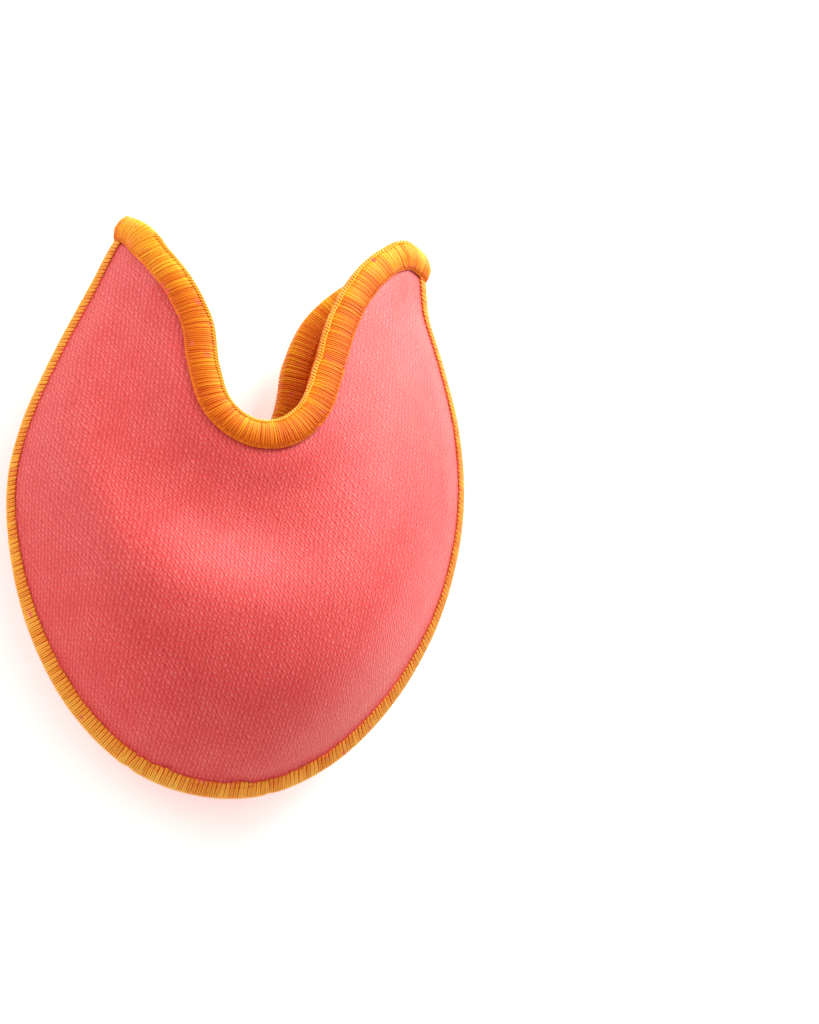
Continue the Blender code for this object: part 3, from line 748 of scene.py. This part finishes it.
class Number:
    """A number that varies over a surface. Python's operators on it add Math nodes."""

    def __init__(self, finish, socket):
        self.finish = finish
        self.socket = socket

    def math(self, operation, *others):
        """A Math node's result, from this number and the others."""
        inputs = dict(enumerate((self,) + others))
        return self.finish.number("ShaderNodeMath", {"operation": operation}, inputs)

    def __add__(self, other):
        return self.math("ADD", other)

    __radd__ = __add__

    def __sub__(self, other):
        return self.math("SUBTRACT", other)

    def __rsub__(self, other):
        return self.math("MULTIPLY_ADD", -1.0, other)

    def __mul__(self, other):
        return self.math("MULTIPLY", other)

    __rmul__ = __mul__

    def __truediv__(self, other):
        return self.math("DIVIDE", other)

    def wave(self):
        """A sine of whole turns, from 0 to 1."""
        return (self * (2 * np.pi)).math("SINE") * 0.5 + 0.5

    def between(self, low, high):
        """Turns smoothly from 0 at low to 1 at high."""
        return self.finish.number("ShaderNodeMapRange", {"interpolation_type": "SMOOTHSTEP"},
                                  {"Value": self, "From Min": low, "From Max": high})


class Finish:
    """A material made of nodes, round one Principled shader."""

    def __init__(self, name, **constants):
        self.material = bpy.data.materials.new(name)
        self.material.use_nodes = True
        self.tree = self.material.node_tree
        self.shader = self.tree.nodes["Principled BSDF"]
        for socket, value in constants.items():
            self.shader.inputs[socket.replace("_", " ")].default_value = value

    def node(self, kind, settings=None, inputs=None):
        """Makes a node: first its settings, then values or links for its sockets."""
        made = self.tree.nodes.new(kind)
        for name, value in (settings or {}).items():
            setattr(made, name, value)
        for name, value in (inputs or {}).items():
            self.feed(made.inputs[name], value)
        return made

    def feed(self, socket, value):
        """Links a number or an output to a socket, or sets the socket's value."""
        value = getattr(value, "socket", value)
        if isinstance(value, bpy.types.NodeSocket):
            self.tree.links.new(value, socket)
        else:
            socket.default_value = value

    def number(self, kind, settings=None, inputs=None, output=0):
        """The number that a new node gives."""
        return Number(self, self.node(kind, settings, inputs).outputs[output])

    def noise(self, where, scale, detail=2.0):
        """Noise from 0 to 1 at a number of lumps in a metre."""
        return self.number("ShaderNodeTexNoise", {}, {"Vector": where, "Scale": scale, "Detail": detail})

    def mix(self, share, low, high):
        """A colour between two: low where share is 0, high where it is 1."""
        made = self.node("ShaderNodeMix", {"data_type": "RGBA"}, {0: share, 6: low, 7: high})
        return made.outputs[2]

    def places(self):
        """Object coordinates, and the two numbers of the piece's UV map."""
        spot = self.node("ShaderNodeTexCoord").outputs["Object"]
        uv = self.node("ShaderNodeUVMap", {"uv_map": "Surface"}).outputs["UV"]
        parts = self.node("ShaderNodeSeparateXYZ", {}, {"Vector": uv})
        return spot, Number(self, parts.outputs["X"]), Number(self, parts.outputs["Y"])

    def dress(self, colour, roughness, height, depth):
        """Feeds the shader its colour, its roughness and a bump of a height from 0 to 1, in metres."""
        bump = self.node("ShaderNodeBump", {}, {"Height": height, "Strength": 1.0, "Distance": depth})
        self.feed(self.shader.inputs["Base Color"], colour)
        self.feed(self.shader.inputs["Roughness"], roughness)
        self.feed(self.shader.inputs["Normal"], bump.outputs["Normal"])
        return self.material


def knit_finish(name, deep, body, light, tint):
    """Knit, as a sum of waves over its columns and rows: upright columns, level rows, the slanting
    lengths of yarn that cross them one way more than the other, and every second slant, with hairy
    yarn and soft unevenness. A broad tinted gloss stands for the fuzz that catches the light."""
    finish = Finish(name, Metallic=0.0, Sheen_Weight=0.28, Sheen_Roughness=0.42, Sheen_Tint=tint,
                    Specular_IOR_Level=0.66, Specular_Tint=tint)
    spot, u, v = finish.places()
    drift = finish.noise(spot, 60.0) - 0.5
    yarn = finish.noise(spot, 900.0) - 0.5
    loose = finish.noise(spot, 640.0) - 0.5
    hair = finish.noise(spot, 4600.0, 3.0)
    patch = finish.noise(spot, 160.0, 3.0)
    column = u / WALE + 0.9 * drift + 1.1 * yarn
    row = v / COURSE + 0.6 * drift + 1.4 * loose
    slant = (column + row).wave() - 0.5
    weave = (WEAVE.columns * (column.wave() - 0.5) + WEAVE.rows * (row.wave() - 0.5)
             + WEAVE.slant * patch * slant + WEAVE.other_slant * ((column - row).wave() - 0.5)
             + WEAVE.pairs * (((column + row) * 0.5).wave() - 0.5))
    level = 0.5 + 0.92 * weave + 0.9 * (hair - 0.5) + 0.30 * (patch - 0.5)
    shade = finish.mix(level.between(0.05, 0.58), deep, body)
    colour = finish.mix(level.between(0.42, 1.0), shade, light)
    return finish.dress(colour, 0.50 + 0.16 * hair, 0.5 + weave + 0.4 * hair, 0.00007)


def thread_finish(name, deep, body, light, blush, speck_start_and_shaded_seam_core):
    """Overlock thread: tones from thread to thread, painted light from border to rim (painted shade at
    the borders, a painted highlight at the rim), a fine twist along each, and in places a blush of the
    knit's colour between the threads."""
    finish = Finish(name, Metallic=0.0, Sheen_Weight=0.02, Sheen_Roughness=0.4, Specular_IOR_Level=0.35,
                    Specular_Tint=(1.0, 0.80, 0.35, 1))
    spot, along, round_it = finish.places()
    tone = finish.number("ShaderNodeAttribute", {"attribute_name": "tone"}, {}, "Fac")
    twist = (along / TWIST + round_it * 2).wave()
    cloud = finish.noise(spot, 160.0, 3.0)
    hair = finish.noise(spot, 4200.0, 3.0)
    level = 0.62 * tone + 0.30 * cloud + 0.10 * twist + 0.16 * (hair - 0.5)
    shade = finish.mix(level.between(0.10, 0.58), deep, body)
    colour = finish.mix(level.between(0.50, 0.95), shade, light)
    specks = finish.noise(spot, 420.0).between(speck_start_and_shaded_seam_core, speck_start_and_shaded_seam_core + 0.07)
    colour = finish.mix(specks, colour, blush)
    return finish.dress(colour, 0.44 + 0.18 * hair, 0.7 * twist + 0.5 * hair, 0.00004)


def floor_finish():
    """A pale floor, softly lit from below, with the faintest unevenness."""
    finish = Finish("studio_floor", Specular_IOR_Level=0.1, Emission_Color=(1.0, 1.0, 1.0, 1.0),
                    Emission_Strength=0.34)
    spot = finish.places()[0]
    grain = finish.noise(spot, 12.0)
    colour = finish.mix(grain, (0.90, 0.90, 0.90, 1.0), (0.93, 0.93, 0.93, 1.0))
    return finish.dress(colour, 0.8 + 0.1 * grain, grain, 0.00002)


# The photograph's camera and frame
FRAME = (819, 1024)
LENS = 135.0
SENSOR = 36.0
DISTANCE = 0.80
TILT_TO_TOE = 22.0
TILT_TO_LEFT = 14.0
ROLL = 6.4
AIM = (0.0, 0.010, 0.015)
AIM_PIXEL = (238.0, 500.0)

# The light
Softbox = namedtuple("Softbox", "name place target size power")
SOFTBOXES = [
    Softbox("right_box", (0.29, 0.47, 0.23), (0.01, 0.02, 0.02), 0.30, 6.0),
    Softbox("left_box", (-0.76, 0.30, 0.38), (0.0, 0.0, 0.02), 0.50, 2.8),
]
ROUND_LIGHT = {"Color": (1.0, 0.88, 0.86, 1.0), "Strength": 0.88}
FLOOR_REACH = 1.5


def turned_to(right, up, back, place):
    """A matrix from three axes and a place."""
    turned = np.eye(4)
    turned[:3] = np.stack([right, up, back, place], axis=1)
    return Matrix(turned.tolist())


def camera():
    """Looks down on the pad from over its toe and a little from its left, with the pad rolled in the
    frame, and moved sideways until the aim point falls on its pixel."""
    back = unit(np.array([-np.tan(np.radians(TILT_TO_LEFT)), -np.tan(np.radians(TILT_TO_TOE)), 1.0]))
    up = unit(np.array([0.0, 1.0, 0.0]) - back[1] * back)
    right = np.cross(up, back)
    roll = np.radians(ROLL)
    up, right = np.cos(roll) * up - np.sin(roll) * right, np.cos(roll) * right + np.sin(roll) * up
    scale = DISTANCE * SENSOR / (LENS * max(FRAME))
    dx, dy = (AIM_PIXEL[0] - FRAME[0] / 2) * scale, (FRAME[1] / 2 - AIM_PIXEL[1]) * scale
    data = bpy.data.cameras.new("camera")
    data.lens, data.sensor_width, data.clip_end = LENS, SENSOR, 20.0
    made = placed("camera", data)
    made.matrix_world = turned_to(right, up, back, np.array(AIM) + back * DISTANCE - right * dx - up * dy)
    bpy.context.scene.camera = made


def softbox(name, place, target, size, power):
    """A square area light at a place, facing a target."""
    data = bpy.data.lights.new(name, "AREA")
    data.shape, data.size, data.energy = "SQUARE", size, power
    back = unit(np.array(place) - np.array(target))
    right = unit(np.cross((0.0, 1.0, 0.0), back))
    placed(name, data).matrix_world = turned_to(right, np.cross(back, right), back, np.array(place))


def floor():
    """Four flat squares that meet under the pad."""
    side = np.linspace(-FLOOR_REACH, FLOOR_REACH, 3)
    spots = np.stack([*np.meshgrid(side, side), np.zeros((3, 3))], axis=-1).reshape(-1, 3)
    mesh = bpy.data.meshes.new("floor")
    mesh.from_pydata(spots, [], [(k, k + 1, k + 4, k + 3) for k in (0, 1, 3, 4)])
    mesh.materials.append(floor_finish())
    return placed("floor", mesh)


def studio():
    """A pale floor under soft light from all round: a box not far behind the right ear, so that its
    light fades towards the toe, and a weaker one further off on the left."""
    floor()
    for box in SOFTBOXES:
        softbox(*box)
    world = bpy.data.worlds.new("studio")
    world.use_nodes = True
    for socket, value in ROUND_LIGHT.items():
        world.node_tree.nodes["Background"].inputs[socket].default_value = value
    bpy.context.scene.world = world
    bpy.context.scene.view_settings.view_transform = "Standard"


def toe_pad():
    """Makes the pieces that stand for the model's solids."""
    rng = np.random.default_rng(SEED)
    shape = Shape()
    knit = knit_finish("coral_knit", (0.48, 0.008, 0.008, 1), (0.63, 0.024, 0.022, 1),
                       (0.72, 0.12, 0.11, 1), (0.55, 1.0, 0.98, 1))
    lining = knit_finish("orange_lining", (0.70, 0.13, 0.006, 1), (0.90, 0.27, 0.010, 1),
                         (0.96, 0.40, 0.04, 1), (1.0, 0.70, 0.45, 1))
    thread = thread_finish("overlock_thread", (0.55, 0.062, 0.002, 1), (0.68, 0.150, 0.002, 1),
                           (0.82, 0.42, 0.012, 1), (0.74, 0.11, 0.06, 1), 0.66)
    bright = thread_finish("looper_thread", (0.80, 0.22, 0.015, 1), (0.92, 0.42, 0.03, 1),
                           (0.97, 0.62, 0.09, 1), (0.90, 0.28, 0.14, 1), 0.66)
    packed = thread_finish("packed_thread", (0.72, 0.13, 0.010, 1), (0.82, 0.20, 0.010, 1),
                           (0.90, 0.30, 0.02, 1), (0.80, 0.10, 0.06, 1), 0.60)
    # The seam's loops get a lighter copy of the thread's colours: painted light, because the seam faces
    # down and outwards into shade.
    pale = thread_finish("seam_thread", (0.78, 0.24, 0.022, 1), (0.86, 0.39, 0.045, 1),
                         (0.92, 0.58, 0.10, 1), (0.82, 0.20, 0.12, 1), 0.66)
    # The seam's packed threads get darker, redder colours than its loops, the thread's colour in shade:
    # painted shade in the gaps between the loops.
    speck_start_and_shaded_seam_core = thread_finish("packed_thread_at_the_seam_in_painted_shade", (0.62, 0.07, 0.015, 1), (0.74, 0.14, 0.02, 1),
                         (0.84, 0.24, 0.04, 1), (0.78, 0.09, 0.06, 1), 0.55)
    # The needle thread is a real thread, drawn dark red as painted shade: it shows as dark dots in the
    # looper chain's openings and between the seam's loops.
    dark = thread_finish("needle_thread", (0.42, 0.035, 0.008, 1), (0.58, 0.07, 0.010, 1),
                         (0.70, 0.12, 0.015, 1), (0.60, 0.05, 0.03, 1), 0.70)
    for side, name in ((1, "front"), (-1, "back")):
        panel = knit_panel(shape, side, name + "_padded_knit", knit, lining)
        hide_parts(name + "_panel")
    laid = GAP + THREAD - THREAD_HIGH
    mouth_core = Track(mouth_surface(shape, GAP + CORE), True)
    mouth = Track(mouth_surface(shape, laid), True)
    seam_core = Track(seam_surface(shape, CORE), False)
    seam = Track(seam_surface(shape, GAP), False)
    mouth_pieces = [
        core(mouth_core, "mouth_packed_threads", packed),
        wraps(mouth, MOUTH_PITCH, "mouth_wrapped_threads", thread, rng),
        chain(mouth, CHAIN_SHARE, CHAIN_PITCH, "mouth_looper_chain", bright),
        needle(mouth, [CHAIN_SHARE], "mouth_needle_thread", dark)]
    seam_pieces = [
        core(seam_core, "seam_packed_threads", speck_start_and_shaded_seam_core),
        loops(seam, SEAM_PITCH, "seam_wrapped_threads", pale, rng),
        needle(seam_core, SEAM_NEEDLES, "seam_needle_thread", dark)]
    for piece in mouth_pieces:
        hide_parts("mouth_edging")
    for piece in seam_pieces:
        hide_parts("seam_edging")


camera()
studio()
toe_pad()
